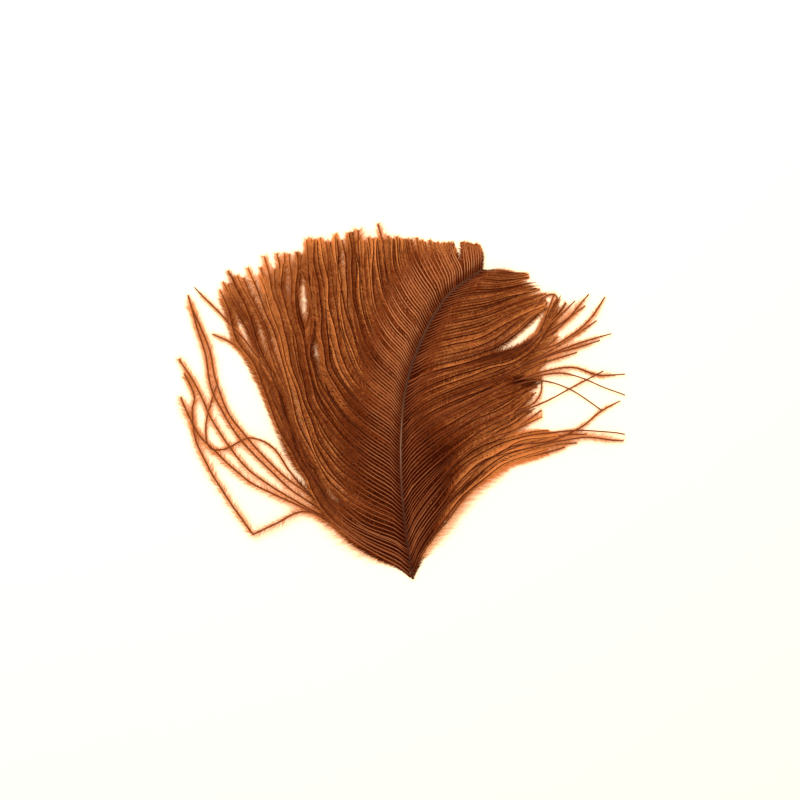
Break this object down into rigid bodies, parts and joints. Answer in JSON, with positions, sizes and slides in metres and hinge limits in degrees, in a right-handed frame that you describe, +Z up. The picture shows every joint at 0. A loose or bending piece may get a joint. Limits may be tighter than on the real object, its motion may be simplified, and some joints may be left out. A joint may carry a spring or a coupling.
{
  "type": "ostrich herl",
  "caption": "Cut length of rust-brown dyed ostrich feather lying flat: a slender curved shaft with two soft vanes of fringed herls, trimmed square along the top, loose herls at both sides.",
  "frame": {"origin": "on the surface the feather lies on, under the middle of its box", "axes": "+X across the feather from its left vane to its right vane, +Y along the shaft from its lower cut end towards its top, +Z up from the surface"},
  "size_m": [0.1342, 0.1066, 0.0034],
  "materials": {
    "shaft": "dyed keratin, dark brown with a soft grey glint",
    "herl": "dyed rust brown, soft and fringed"
  },
  "bodies": {
    "root": {"shaft": "shaft", "left_vane": "herl", "right_vane": "herl"}
  },
  "joints": []
}
